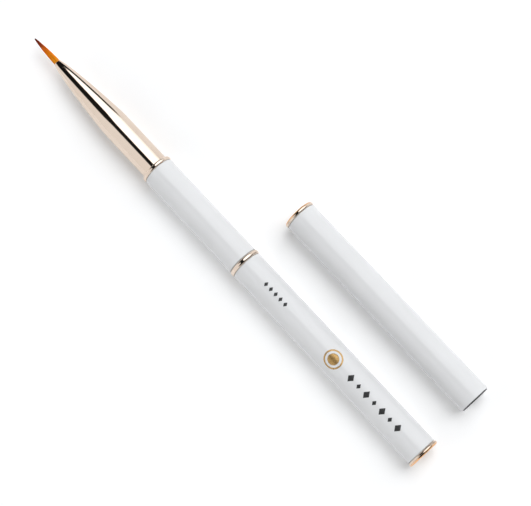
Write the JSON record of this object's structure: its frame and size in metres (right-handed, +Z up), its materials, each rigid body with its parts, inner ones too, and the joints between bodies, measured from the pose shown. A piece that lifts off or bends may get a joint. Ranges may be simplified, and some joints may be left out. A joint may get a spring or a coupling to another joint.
{
  "type": "nail brush",
  "caption": "Slim nail brush with a fine pointed hair tuft in a tapered ferrule, a tubular handle with trim rings that pulls apart, and a long slide-on cap lying beside it.",
  "frame": {"origin": "centre of the footprint, on the surface that the brush and the cap lie on", "axes": "+X along the brush from the hair to its back end, +Y from the brush towards the cap, +Z up"},
  "size_m": [0.1724, 0.032, 0.0106],
  "materials": {
    "white_lacquer": "white gloss lacquer on drawn aluminium tube",
    "rose_gold": "polished rose gold plate",
    "hair": "fine tapered filaments, orange at the base and dark red-brown at the tip",
    "resin": "cast clear amber resin",
    "moulding": "plain moulded, natural white",
    "dark_plastic": "satin dark grey moulded sleeve",
    "rubber": "black nitrile",
    "thread": "waxed thread"
  },
  "bodies": {
    "rear_handle": {"mid_ring": "rose_gold", "socket_bush": "moulding", "rear_tube": "white_lacquer", "end_plug": "moulding", "end_button": "rose_gold"},
    "front_section": {"bristle_tuft": "hair", "tuft_binding": "thread", "tuft_glue": "resin", "ferrule": "rose_gold", "ferrule_core": "moulding", "ferrule_ring": "rose_gold", "front_tube": "white_lacquer", "coupling_spigot": "moulding", "front_o_ring": "rubber", "rear_o_ring": "rubber"},
    "cap": {"cap_tube": "white_lacquer", "cap_liner": "dark_plastic", "cap_plug": "moulding", "cap_button": "rose_gold"}
  },
  "joints": [
    {"name": "front_slide", "type": "slide", "parent": "rear_handle", "child": "front_section", "axis": [-1, 0, 0], "range_m": [0, 0.14]},
    {"name": "cap_slide", "type": "slide", "parent": "rear_handle", "child": "cap", "axis": [-0.9965, -0.0839, 0.0004], "range_m": [0, 0.2563]}
  ]
}
